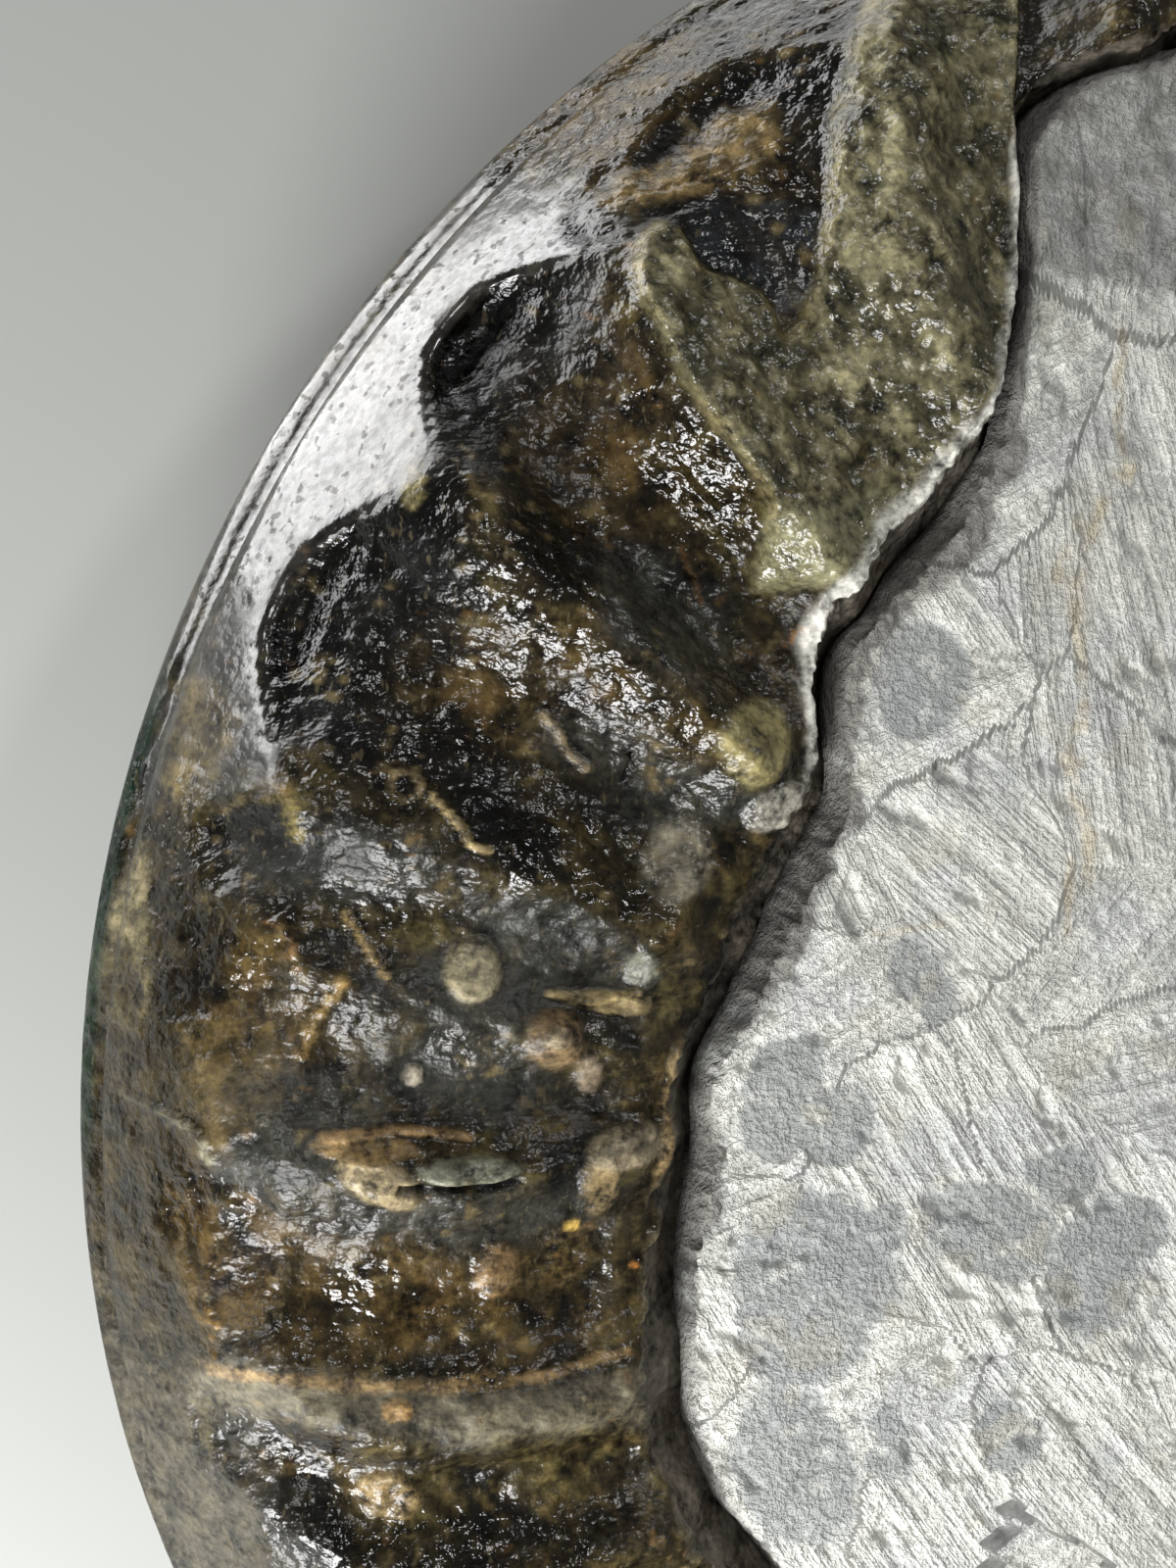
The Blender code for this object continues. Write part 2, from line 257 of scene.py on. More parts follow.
def polar(angle, radius, height):
    turned = np.radians(angle)
    return np.stack([radius * np.cos(turned), radius * np.sin(turned), height + 0 * turned * radius],
                    axis=-1)


# a mesh from points in the row's frame, with its faces and its named marks for the shader
def meshOf(name, points, faces, marks):
    made = bpy.data.meshes.new(name)
    made.from_pydata(points.tolist(), [], faces)
    for label, values in marks.items():
        if values.ndim == 2:
            kept = made.attributes.new(label, "FLOAT_COLOR", "POINT")
            kept.data.foreach_set("color", np.ascontiguousarray(np.c_[values, np.ones(len(values))],
                                                                dtype=np.float32).ravel())
        else:
            kept = made.attributes.new(label, "FLOAT", "POINT")
            kept.data.foreach_set("value", np.ascontiguousarray(values, dtype=np.float32))
    made.validate()
    made.update()
    made.shade_smooth()
    shown = bpy.data.objects.new(name, made)
    bpy.context.scene.collection.objects.link(shown)
    return shown


# edge of the flank by the stone, its height, and the groove's width and depth
def seatAt(angle):
    flat = np.ravel(angle)
    wobble = np.array([noise.noise((0.0, a / 3.2, 7.0)) + 0.16 * noise.noise((0.0, a / 1.5, 3.0))
                       for a in flat])
    wobble = wobble.reshape(np.shape(angle)) * step(24, 40, angle) * (1 - step(360, 376, angle))
    edge = softRamp(seat["edge"], angle, 1.3) + 0.0065 * wobble
    height = flankHeight(angle, edge)
    groove = softRamp(seat["groove"], angle, 2.0) * (1 + 0.25 * wobble)
    return edge, edge * rimRadius(angle), height, groove, np.minimum(seat["depth"], 0.3 * height)


# a colour given in screen values of 0 to 255, as the shader needs it
def fromScreen(red, green, blue):
    values = np.array((red, green, blue)) / 255.0
    return np.where(values > 0.04045, ((values + 0.055) / 1.055) ** 2.4, values / 12.92)


# 1 inside a turned ellipse in the picture, fading out over its rim
def blob(x, y, place, size, turn=0.0, soft=0.35):
    t = math.radians(turn)
    dx, dy = x - place[0], y - place[1]
    u = (dx * math.cos(t) + dy * math.sin(t)) / size[0]
    v = (-dx * math.sin(t) + dy * math.cos(t)) / size[1]
    return 1 - step(1 - soft, 1 + soft, np.hypot(u, v))


def paint(colour, mask, new):
    return colour + (np.asarray(new) - colour) * mask[..., None]


# what lies on the photographed flank: outlines, lines and places are in the picture, 1200 by 1600
flank = dict(
    slab=((648, 250), (655, 236), (672, 228), (690, 234), (700, 252), (712, 274), (745, 282), (772, 298),
          (786, 322),
          (796, 345), (815, 330), (828, 290), (842, 220), (845, 120), (870, 30), (900, -30), (1040, -30),
          (1030, 120),
          (1036, 290), (1015, 395), (955, 495), (885, 565), (840, 600), (800, 596), (766, 606), (762, 590),
          (776, 560),
          (786, 540), (778, 512), (757, 470), (735, 445), (706, 405), (688, 368), (668, 335), (652, 305),
          (645, 275)),
    slabRise=0.0014,
    silvery=(((640, 650), (170, 52), 38), ((690, 545), (54, 110), -14), ((590, 880), (120, 52), 12),
             ((720, 400), (70, 150), -20), ((900, 250), (90, 260), 0), ((265, 690), (44, 120), 32),
             ((345, 560), (40, 50), -30), ((470, 520), (60, 40), 30), ((560, 200), (60, 120), 20),
             ((420, 1340), (120, 30), 0), ((480, 1560), (120, 40), 0), ((720, 60), (90, 60), -20)),
    smoothEnd=((782, 530), (820, 512), (905, 497), (940, 512), (885, 565), (840, 600), (766, 606)),
    bluePatch=((700, 205), (760, 200), (835, 210), (832, 290), (806, 328), (790, 318), (772, 292),
               (742, 277), (712, 268), (702, 240)),
    ochre=((600, 190), (640, 170), (700, 150), (740, 118), (790, 100), (800, 150), (770, 190), (700, 200),
           (640, 214), (604, 208)),
    shellEdge=((118, 1112), (150, 1128), (178, 1138), (200, 1158), (210, 1184)),
    greyRidge=((85, 1318), (130, 1365), (200, 1402), (330, 1430), (480, 1448), (690, 1422)),
    ridgeLine=((205, 1392), (330, 1412), (440, 1418), (560, 1402), (640, 1380)),
    rimPatch=((128, 872), (146, 862), (152, 960), (153, 1025), (132, 1052), (100, 1046), (98, 1000),
              (112, 930)),
    rimPatchHigh=((186, 690), (222, 690), (246, 735), (222, 790), (190, 830), (166, 815), (170, 750)),
    oliveFacet=((108, 1062), (150, 1040), (285, 1036), (288, 1120), (262, 1150), (215, 1180), (192, 1165),
                (130, 1122)),
)


# small things on the flank: kind of thing, place, size, turn, rise in metres and screen colour
grown = (
    ("oyster", (482, 990), (27, 33), 5, 0.0011, (150, 140, 112)),
    ("oyster", (566, 1060), (28, 30), 20, 0.0009, (128, 106, 76)),
    ("oyster", (566, 1058), (13, 11), -20, 0.0005, (158, 144, 116)),
    ("oyster", (385, 1205), (46, 22), 24, 0.0012, (168, 152, 118)),
    ("oyster", (372, 1172), (50, 14), 4, 0.0006, (132, 108, 68)),
    ("flat", (478, 1194), (52, 15), -4, 0.0012, (124, 124, 106)),
    ("oyster", (612, 1205), (17, 34), 12, 0.0006, (132, 114, 80)),
    ("oyster", (640, 1170), (40, 22), -10, 0.0003, (140, 128, 104)),
    ("oyster", (506, 1296), (22, 28), 10, 0.0007, (128, 104, 70)),
    ("oyster", (396, 1524), (34, 24), 10, 0.0009, (126, 108, 74)),
    ("oyster", (405, 1440), (16, 12), 0, 0.0004, (160, 126, 76)),
    ("flat", (300, 838), (9, 24), -20, 0.0005, (120, 108, 62)),
    ("flat", (420, 492), (12, 28), 0, 0.0002, (122, 112, 72)),
    ("oyster", (800, 822), (42, 20), -28, 0.0014, (168, 164, 150)),
    ("oyster", (770, 760), (34, 44), 10, 0.0004, (140, 130, 88)),
    ("oyster", (618, 1022), (44, 12), 6, 0.0005, (136, 120, 84)),
    ("oyster", (690, 880), (34, 44), 20, 0.0004, (128, 122, 104)),
    ("oyster", (600, 1096), (12, 20), 0, 0.0006, (128, 114, 94)),
    ("oyster", (420, 1095), (9, 12), 0, 0.0006, (170, 160, 140)),
    ("oyster", (655, 990), (18, 16), 0, 0.0003, (112, 112, 98)),
    ("dot", (585, 1251), (5, 5), 0, 0.0002, (226, 188, 96)),
    ("dot", (650, 1288), (4, 4), 0, 0.0002, (226, 150, 70)),
    ("dot", (462, 914), (9, 9), 0, 0.0003, (96, 88, 66)),
    ("dot", (266, 1142), (10, 9), 0, 0.0002, (84, 80, 66)),
)
# ridges left by tubes, shell edges and rusty threads, and two dark grooves, the last a painted shadow under
# the flat shell: line, half width, rise in metres and screen colour
threads = (
    (((553, 728), (566, 742), (578, 766), (598, 784)), 6, 0.0007, (150, 134, 104)),
    (((270, 938), (286, 946), (298, 966), (301, 990)), 3.5, 0.0006, (122, 94, 60)),
    (((398, 790), (416, 788), (428, 798), (424, 812), (408, 818), (396, 806), (400, 792)), 4, 0.0005,
     (128, 112, 82)),
    (((440, 812), (470, 842), (480, 862), (500, 868)), 5, 0.0006, (176, 156, 112)),
    (((214, 1330), (207, 1346), (222, 1352), (212, 1368), (216, 1384)), 3, 0.0004, (132, 104, 58)),
    (((350, 930), (372, 962), (392, 994)), 6, 0.0006, (138, 118, 78)),
    (((350, 1000), (322, 1040), (308, 1076)), 7, 0.0006, (132, 108, 64)),
    (((560, 1012), (600, 1020), (650, 1012)), 5, 0.0005, (150, 132, 90)),
    (((800, 660), (812, 644), (842, 632), (852, 622)), 3, 0.0003, (136, 100, 64)),
    (((692, 560), (708, 590), (716, 616)), 3, 0.0002, (112, 84, 54)),
    (((330, 1160), (420, 1152), (480, 1160)), 6, 0.0005, (150, 122, 84)),
    (((640, 800), (646, 770)), 4, -0.0010, (14, 13, 12)),
    # painted shadow under the flat shell
    (((408, 1212), (470, 1216), (528, 1206)), 6, -0.0007, (30, 29, 27)),
)
# smooth grey mud that fills low places
muddy = (((505, 1015), (110, 50), 4), ((565, 960), (100, 40), 20), ((340, 880), (110, 42), 10),
         ((300, 1132), (90, 40), 8),
         ((450, 1240), (150, 34), 0), ((700, 812), (90, 34), -6), ((690, 640), (60, 60), 0),
         ((480, 1100), (110, 36), 10),
         ((650, 600), (40, 60), -30), ((300, 1190), (90, 30), 4), ((620, 760), (70, 30), 10))
# very dark places, and browner ones
black = (((335, 600), (130, 110), -44), ((470, 400), (50, 140), 12), ((190, 950), (46, 110), 4),
         ((560, 250), (70, 90), 10),
         ((790, 40), (80, 60), 0), ((410, 760), (130, 40), 20), ((760, 60), (60, 60), 0),
         ((250, 720), (60, 70), -20),
         ((430, 560), (80, 60), 40), ((560, 560), (60, 40), 40), ((350, 860), (90, 24), 10),
         ((520, 860), (60, 30), 30))
brown = (((380, 1320), (280, 90), 0), ((700, 130), (120, 90), 0), ((200, 1110), (100, 80), 0),
         ((560, 400), (90, 130), -20), ((430, 690), (130, 70), 20), ((200, 1260), (120, 80), 10),
         ((600, 120), (90, 60), -30),
         ((250, 1000), (90, 60), 20), ((620, 470), (60, 100), -30), ((640, 700), (90, 60), 30))


# screen colours of the flank
shades = dict(
    earth=(43, 37, 22), moss=(80, 71, 42), soot=(12, 12, 10), pit=(12, 11, 9), straw=(92, 77, 46),
    umber=(82, 64, 34), tar=(7, 7, 6), mud=(46, 46, 41), olive=(112, 107, 80), paleOlive=(127, 121, 92),
    darkOlive=(80, 77, 57), dent=(48, 46, 32), dentRim=(158, 150, 116), slabEdge=(144, 130, 90),
    slabEnd=(122, 120, 92), greyRib=(100, 94, 76), ridgeLine=(150, 124, 84), dust=(86, 83, 73),
    speck=(112, 98, 66), rust=(116, 88, 52), varnish=(44, 42, 38), shoulderShade=(34, 29, 18),
    worn=(66, 57, 36), greyWorn=(74, 70, 58), rimGreen=(5, 30, 17), chalk=(206, 204, 194),
    tanRidge=(158, 134, 94), jointEdge=(128, 118, 94), wall=(96, 91, 82), paleWall=(104, 96, 84),
    shellEdge=(150, 144, 120),
)


def shade(name):
    return fromScreen(*shades[name])


# relief and colours of the photographed flank. The first are metres along the coil's upward side
def dressFlank(upper, shares, angles):
    shape = upper.shape[:2]
    x, y = toPicture(upper)
    fine = rough(upper, 0.0022, 3, 11.0)
    wide = rough(upper, 0.0075, 3, 5.0)
    other = rough(upper, 0.0060, 3, 23.0)
    wx, wy = x + 9 * wide + 4 * fine, y + 9 * other + 4 * fine
    streak = np.stack([upper[..., 0] * 0.8 + upper[..., 1] * 0.6,
                       (upper[..., 1] * 0.8 - upper[..., 0] * 0.6) * 0.3, upper[..., 2]], -1)
    crust = 1 - 2 * np.abs(rough(upper, 0.0042, 4, 63.0))
    rise = 0.00024 * fine + 0.00040 * wide + 0.00034 * crust * step(-0.6, 0.4, other)
    valley = (1 - ribLevel(angles[:, None], shares)[2]) ** 0.8
    outer = shares - scoopEdge(valley) + 0.0035 * fine + 0.004 * wide
    within = (step(104, 110, angles) * (1 - step(168, 176, angles)))[:, None]
    turnBy = angles[:, None] + 1.6 * wide + 1.0 * fine
    smoothPart = step(127.5, 129.5, turnBy) * (1 - step(155.5, 159.0, turnBy))
    shoulder = step(-0.008, -0.003, outer) * smoothPart
    # the hollows behind the shoulder's edge, painted black as shade
    hollowShade = (step(0.15, 0.5, valley) * (1 - step(-0.010, -0.005, outer)) * step(-0.17, -0.04, outer)
              * within * (1 - step(157, 163, angles))[:, None])
    tint = np.broadcast_to(shade("earth"), (*shape, 3)).copy()
    satin, hammered = np.zeros(shape), np.zeros(shape)
    mottle = rough(upper, 0.0035, 4, 31.0)
    tint = paint(tint, step(0.05, 0.5, mottle) * 0.8, shade("moss"))
    tint = paint(tint, step(0.1, 0.6, -wide) * 0.9, shade("soot"))
    tint = paint(tint, step(0.35, 0.0, crust) * 0.55, shade("pit"))
    gold = rough(streak, 0.0018, 3, 37.0)
    tint = paint(tint, step(0.05, 0.5, gold) * 0.45 * step(-0.4, 0.4, other), shade("straw"))
    for place, size, turn in brown:
        tint = paint(tint, blob(wx, wy, place, size, turn, 0.6) * 0.6 * step(-0.5, 0.4, mottle),
                     shade("umber"))
    for place, size, turn in black:
        tint = paint(tint, blob(wx, wy, place, size, turn, 0.5) * 0.9, shade("tar"))
    for place, size, turn in muddy:
        mask = blob(wx, wy, place, size, turn, 0.45)
        tint = paint(tint, mask * 0.85, shade("mud"))
        satin = np.maximum(satin, 0.3 * mask)
        rise -= mask * (0.00012 * fine + 0.0001)
    # painted shade: the scooped hollows are painted black
    tint = paint(tint, hollowShade * 0.9, shade("tar"))
    # the layer of olive shell
    away = inside(flank["slab"], x + 5 * wide + 3 * fine, y + 5 * other)
    slab = step(-5, 7, away)
    inner = step(-4, 6, inside(flank["smoothEnd"], wx, wy))
    dents = 1.1 * np.abs(rough(streak, 0.0021, 3, 43.3)) - 0.5 * rough(upper, 0.0040, 2, 41.7)
    rise += slab * (flank["slabRise"] + 0.00042 * (dents - 0.4) * (1 - inner))
    rise += 0.0003 * slab * step(16, 2, away)
    hammered = np.maximum(hammered, slab * (1 - 0.7 * inner))
    tint = paint(tint, slab, shade("olive"))
    tint = paint(tint, slab * step(0.0, 0.7, mottle), shade("paleOlive"))
    tint = paint(tint, slab * step(0.1, 0.8, -mottle), shade("darkOlive"))
    tint = paint(tint, slab * (1 - inner) * step(0.45, 0.0, dents) * 0.75, shade("dent"))
    tint = paint(tint, slab * (1 - inner) * step(0.5, 1.0, dents) * 0.6, shade("dentRim"))
    tint = paint(tint, slab * (1 - step(2, 9, away)) * step(1100, 900, x) * step(-0.6, 0.4, other) * 0.8,
                 shade("slabEdge"))
    tint = paint(tint, inner * 0.7, shade("slabEnd"))
    for name, colour, amount in (("bluePatch", (34, 37, 42), 0.9), ("ochre", (140, 118, 76), 0.7),
                                 ("oliveFacet", (82, 69, 40), 0.75), ("rimPatchHigh", (124, 108, 70), 0.9),
                                 ("rimPatch", (158, 146, 110), 0.95)):
        mask = step(-6, 8, inside(flank[name], wx, wy))
        tint = paint(tint, mask * amount * (0.35 + 0.65 * step(-0.35, 0.35, gold + 0.5 * mottle)),
                     fromScreen(*colour))
        rise += mask * (0.0003 if name != "rimPatch" else 0.0007)
    # ribs and edges with a colour of their own
    grey = 1 - step(14, 40, toLine(flank["greyRidge"], wx, wy))
    tint = paint(tint, grey * 0.8, shade("greyRib"))
    satin = np.maximum(satin, 0.7 * grey)
    tint = paint(tint, (1 - step(3, 10, toLine(flank["ridgeLine"], wx, wy))) * 0.8, shade("ridgeLine"))
    low = step(1330, 1420, y) * step(330, 120, x)
    tint = paint(tint, low * 0.6, shade("dust"))
    satin = np.maximum(satin, 0.6 * low)
    mask = 1 - step(2.25, 5, toLine(flank["shellEdge"], x + 3 * fine + 3 * wide, y + 3 * other))
    tint = paint(tint, mask * 0.95, shade("shellEdge"))
    rise += 0.0008 * mask
    satin = np.maximum(satin, 0.8 * mask)
    for kind, place, size, turn, up, colour in grown:
        mask = blob(x + 3 * wide + 2 * fine, y + 3 * other, place, size, turn,
                    0.18 if kind != "dot" else 0.4)
        dome = (np.sqrt(np.clip(1 - ((x - place[0]) ** 2 + (y - place[1]) ** 2) / max(size) ** 2, 0, 1))
                if kind == "oyster" else 1.0)
        rise += mask * up * (0.45 + 0.55 * dome)
        tint = paint(tint, mask * (0.8 + 0.2 * step(-0.3, 0.5, fine)), fromScreen(*colour))
        tint = paint(tint, mask * 0.5 * step(0.1, 0.6, -mottle), fromScreen(*[0.6 * c for c in colour]))
        satin = np.maximum(satin, 0.35 * mask)
    for line, width, up, colour in threads:
        mask = 1 - step(0.5 * width, width, toLine(line, x + 2 * fine, y + 2 * wide))
        rise += mask * up
        tint = paint(tint, mask * 0.85, fromScreen(*colour))
    glossy = np.zeros(shape)
    for place, size, turn in flank["silvery"]:
        glossy = np.maximum(glossy, blob(wx, wy, place, size, turn, 0.5))
    satin = np.clip(satin + (1 - glossy) * (1 - 0.9 * slab)
                    * (0.06 + 0.40 * step(-0.5, 0.5, rough(upper, 0.009, 2, 91.0))), 0, 1)
    rise += glossy * 0.00034 * rough(streak, 0.0019, 2, 17.0)
    # specks of tan and rust
    speck = rough(upper, 0.0016, 2, 57.0)
    tint = paint(tint, step(0.34, 0.56, speck) * (1 - slab) * 0.6 * step(-0.1, 0.3, wide), shade("speck"))
    tint = paint(tint, step(0.56, 0.68, rough(upper, 0.0018, 2, 77.0)) * 0.55 * step(0.15, 0.5, other),
                 shade("rust"))
    # the keel strip is painted dark green: a green coat on the keel, and a painted reflection of green
    # surroundings
    rimStrip = (step(0.9905, 0.9945, shares)
                * (step(151, 156, angles) * (1 - step(172, 176, angles)))[:, None])
    # the smooth shoulder and the keel
    tint = paint(tint, shoulder * 0.55, shade("varnish"))
    worn = step(-0.010, 0.0, outer) * (1 - smoothPart) * (1 - rimStrip)
    # painted shade: the outer shoulder from about 160 degrees round is darkened
    tint = paint(tint, worn * 0.85 * step(158, 166, turnBy) * step(-0.9, 0.1, other), shade("shoulderShade"))
    tint = paint(tint, worn * 0.35 * step(-0.4, 0.5, mottle), shade("worn"))
    tint = paint(tint, worn * 0.7 * step(180, 188, turnBy), shade("greyWorn"))
    satin *= 1 - 0.7 * worn * (1 - step(176, 186, turnBy))
    satin = np.maximum(satin, worn * (0.10 + 0.55 * step(176, 186, turnBy)))
    hammered = hammered * (1 - shoulder)
    # dark green on the keel strip, partly painted reflection
    tint = paint(tint, rimStrip * 0.9, shade("rimGreen"))
    shoulder = shoulder * (1 - rimStrip)
    rise *= 1 - 0.85 * shoulder
    beside = (shares - shares[:, 7:8]) * rimRadius(angles)[:, None] + 0.0003 * wide + 0.0002 * fine
    lip = ((1 - step(0.0010, 0.0023, beside + 0.0004 * wide))
           * (step(110, 112, angles) * (1 - step(139, 143, angles)))[:, None])
    tint = paint(tint, lip * 0.95, shade("chalk"))
    rise += lip * 0.0007
    satin = np.maximum(satin, lip)
    ridge = ((1 - step(0.0005, 0.0014, beside))
             * (step(160, 162, angles) * (1 - step(170, 172, angles)))[:, None])
    tint = paint(tint, ridge * 0.9, shade("tanRidge"))
    rise += ridge * 0.0009
    worn = (1 - step(0.0002, 0.0012, beside)) * step(143, 150, angles)[:, None] * step(-0.2, 0.4, other)
    tint = paint(tint, worn * 0.6, shade("jointEdge"))
    # the wall of the groove, its grey-brown kept light as painted light against the groove's shadow
    wall = np.zeros(shape)
    wall[:, :7] = 1.0
    tint = paint(tint, wall, shade("wall"))
    tint = paint(tint, wall * step(0.0, 0.5, wide), shade("paleWall"))
    satin = np.maximum(satin, wall)
    return rise, tint, satin, hammered, shoulder


# points of the outer turn: the upper side for all angles, the lower side for the kept ones
def coilGrid(angles, kept):
    angle = angles[:, None]
    radius = rimRadius(angle)
    edge, edgeRadius, edgeHeight, groove, depth = seatAt(angle)
    # the bed under the stone and the wall of the groove
    bed = [(edgeRadius - groove - seat["slope"], seat["floor"] + 0 * angle),
           (edgeRadius - groove - 0.008, 0.5 * (seat["floor"] + 0.8 * edgeHeight - depth)),
           (edgeRadius - groove - 0.003, 0.8 * edgeHeight - depth),
           (edgeRadius - 0.5 * groove - 0.0015, 0.9 * edgeHeight - depth),
           (edgeRadius - 0.0008, edgeHeight - depth),
           (edgeRadius - 0.0006, edgeHeight - 0.6 * depth),
           (edgeRadius - 0.0004, edgeHeight - 0.25 * depth)]
    rows = [polar(angle, r, h)[:, 0] for r, h in bed]
    # the flank, closer set beside the groove and at the shoulder
    along = np.linspace(0, 1, coil["flankRows"])
    along = (along + 0.10 * np.sin(2 * math.pi * along) / (2 * math.pi) - 0.05
             * np.sin(4 * math.pi * along) / (2 * math.pi))
    share = edge + (0.95 - edge) * along[None, :]
    flank = polar(np.broadcast_to(angle, share.shape), share * radius, flankHeight(angle, share))
    # the venter with its keel between two grooves
    turn = np.linspace(0, 1, len(coil["venter"]) * 2 - 1)[1:]
    knots = np.linspace(0, 1, len(coil["venter"]))
    ventShare = np.interp(turn, knots, [v[0] for v in coil["venter"]])
    ventHeight = np.interp(turn, knots, [v[1] for v in coil["venter"]])
    vent = polar(np.broadcast_to(angle, (len(angles), len(turn))), ventShare[None] * radius,
                 ventHeight[None] * radius)
    upper = np.concatenate([np.stack(rows, 1), flank, vent], axis=1)
    shares = np.concatenate([np.repeat(edge, len(bed), 1), share,
                             np.broadcast_to(ventShare, vent.shape[:2])], axis=1)
    # the lower side, from beside the keel in to the seam
    low = angles[kept][:, None]
    back = polar(np.broadcast_to(low, (len(kept), len(turn) - 1)), ventShare[None, -2::-1] * rimRadius(low),
                 -ventHeight[None, -2::-1] * rimRadius(low))
    inner = np.linspace(0.95, 0.5, coil["underRows"])[None, :]
    level = ribLevel(low, inner, 0, False)[0]
    under = polar(np.broadcast_to(low, (len(kept), coil["underRows"])), inner * rimRadius(low),
                  -(sectionAt(inner, 1) + level) * rimRadius(low))
    return upper, shares, np.concatenate([back, under], axis=1)


def still(points, number):
    return np.zeros_like(points)


# rings that close a loop of vertex numbers, each moved by bulge, and the faces between them
def fanRings(points, loop, middle, shrinks, bulge):
    faces, ring = [], list(loop)
    for number, shrink in enumerate(shrinks):
        base = np.array([points[i] for i in loop])
        new = middle + (base - middle) * shrink
        new = new + bulge(new, number)
        start = len(points)
        points.extend(new)
        fresh = list(range(start, start + len(loop)))
        faces += [(ring[i], ring[(i + 1) % len(ring)], fresh[(i + 1) % len(ring)], fresh[i])
                  for i in range(len(ring))]
        ring = fresh
    points.append(middle + bulge(middle[None], len(shrinks))[0])
    faces += [(ring[i], ring[(i + 1) % len(ring)], len(points) - 1) for i in range(len(ring))]
    return faces


# all points and faces of the coil, from its two grids and the turns inside it
def coilFaces(upper, lower, kept, angles):
    columns, rows = upper.shape[:2]
    lowRows = lower.shape[1]
    bedRows = coil["bedRows"]
    underRows = coil["underRows"]
    seamRow = rows - underRows + 1
    points = [p for column in upper for p in column]
    up = np.arange(columns * rows).reshape(columns, rows)
    up[-1, :bedRows] = up[0, :bedRows]
    up[-1, bedRows: seamRow] = up[0, bedRows]
    start = len(points)
    points.extend(p for column in lower for p in column)
    down = start + np.arange(len(kept) * lowRows).reshape(len(kept), lowRows)
    belowSeam = lowRows - underRows
    down[-1, belowSeam] = down[0, -1]
    faces = []
    for c in range(columns - 1):
        for r in range(rows - 1):
            faces.append([up[c, r], up[c, r + 1], up[c + 1, r + 1], up[c + 1, r]])
    for k in range(len(kept) - 1):
        a, b = kept[k], kept[k + 1]
        faces.append([*up[a: b + 1, -1][::-1], down[k, 0], down[k + 1, 0]])
        for r in range(lowRows - 1):
            faces.append([down[k, r], down[k, r + 1], down[k + 1, r + 1], down[k + 1, r]])
    # the turns inside, each with its outer seam on the turn outside it
    seam, before = list(down[:, -1]), list(down[-1, belowSeam:][::-1])
    beforeShare = np.linspace(0.5, 0.95, underRows)
    low = angles[kept]
    for turn, count in enumerate(coil["innerTurns"], start=1):
        picked = np.round(np.linspace(0, len(beforeShare) - 1, count)).astype(int)
        shares = beforeShare[picked]
        angle = (low + 360.0 * turn)[1:, None]
        level = ribLevel(low[1:, None], shares[None, :-1], turn, False)[0]
        grid = polar(np.broadcast_to(angle, level.shape), shares[None, :-1] * rimRadius(angle),
                     -(sectionAt(shares[None, :-1], 1) + level) * rimRadius(angle))
        start = len(points)
        points.extend(p for column in grid for p in column)
        nextSeam = [before[0]]
        for k in range(1, len(kept)):
            new = [start + (k - 1) * (count - 1) + r for r in range(count - 1)] + [seam[k]]
            for r in range(count - 1):
                span = before[picked[r]: picked[r + 1] + 1] if k == 1 else before[r: r + 2]
                faces.append([new[r], new[r + 1], *span[::-1]])
            before = new
            nextSeam.append(new[0])
        seam, beforeShare = nextSeam, shares
    faces.append(before)
    faces += fanRings(points, seam, np.array((0, 0, -0.0010)), (), still)
    faces += fanRings(points, list(up[:-1, 0]), np.array((0, 0, seat["floor"])), (), still)
    # the broken mouth, dished and rough: each ring's size and how deep it lies
    mouthDish = ((0.97, 0.0012), (0.85, 0.0030), (0.68, 0.0042), (0.46, 0.0046), (0.22, 0.0048),
                 (0.0, 0.0048))
    loop = [*up[0, bedRows:], *down[0], *down[-1, :belowSeam][::-1], *up[-1, seamRow:][::-1]]
    centre = np.mean([points[i] for i in loop], axis=0)
    inward = np.array((-math.sin(math.radians(coil["mouth"])), math.cos(math.radians(coil["mouth"])), 0.0))

    def broken(p, number):
        return inward[None] * (mouthDish[number][1] + 0.0012 * rough(p, 0.012, 3, 4.0))[:, None]
    faces += fanRings(points, loop, centre, [shrink for shrink, depth in mouthDish[:-1]], broken)
    tidy = []
    for f in faces:
        f = [int(v) for v in f]
        f = [v for i, v in enumerate(f) if v != f[i - 1]]
        if len(f) > 2:
            tidy.append(f)
    return np.array(points), tidy


# takes out points that no face uses, and numbers the rest again
def dropLoose(points, faces):
    used = np.zeros(len(points), bool)
    for f in faces:
        used[f] = True
    number = np.cumsum(used) - 1
    return used, [[int(number[v]) for v in f] for f in faces]


angles, kept = columnsOf()
upper, shares, lower = coilGrid(angles, kept)
print("stage 3: the coil's grids are laid,", upper.shape, lower.shape)
rise, tint, satin, hammered, shoulder = dressFlank(upper, shares, angles)
fronted = (step(20, 24, angles) * (1 - step(376, 379, angles)))[:, None] * np.ones(upper.shape[1])
fronted[:, :4] = 0
upper[..., 2] += rise * fronted
ragged = (0.0011 * np.abs(rough(upper[:, 3:12], 0.0030, 3, 87.0)) * np.array((0.2, 0.6, 1, 1, 1, 0.9, 0.6,
                                                                              0.35, 0.15)))
upper[:, 3:12, :2] *= (1 + ragged * fronted[:, 4:5] / np.hypot(upper[:, 3:12, 0],
                                                               upper[:, 3:12, 1]))[..., None]
points, faces = coilFaces(upper, lower, kept, angles)
total = len(points)
count = upper.shape[0] * upper.shape[1]


# marks of the upper side's points, with one value for all the others
def spread(values, rest):
    flat = values.reshape(count, -1)
    filled = np.tile(np.broadcast_to(np.array(rest, float), flat.shape[1]), (total, 1))
    filled[:count] = flat
    return filled if filled.shape[1] > 1 else filled[:, 0]


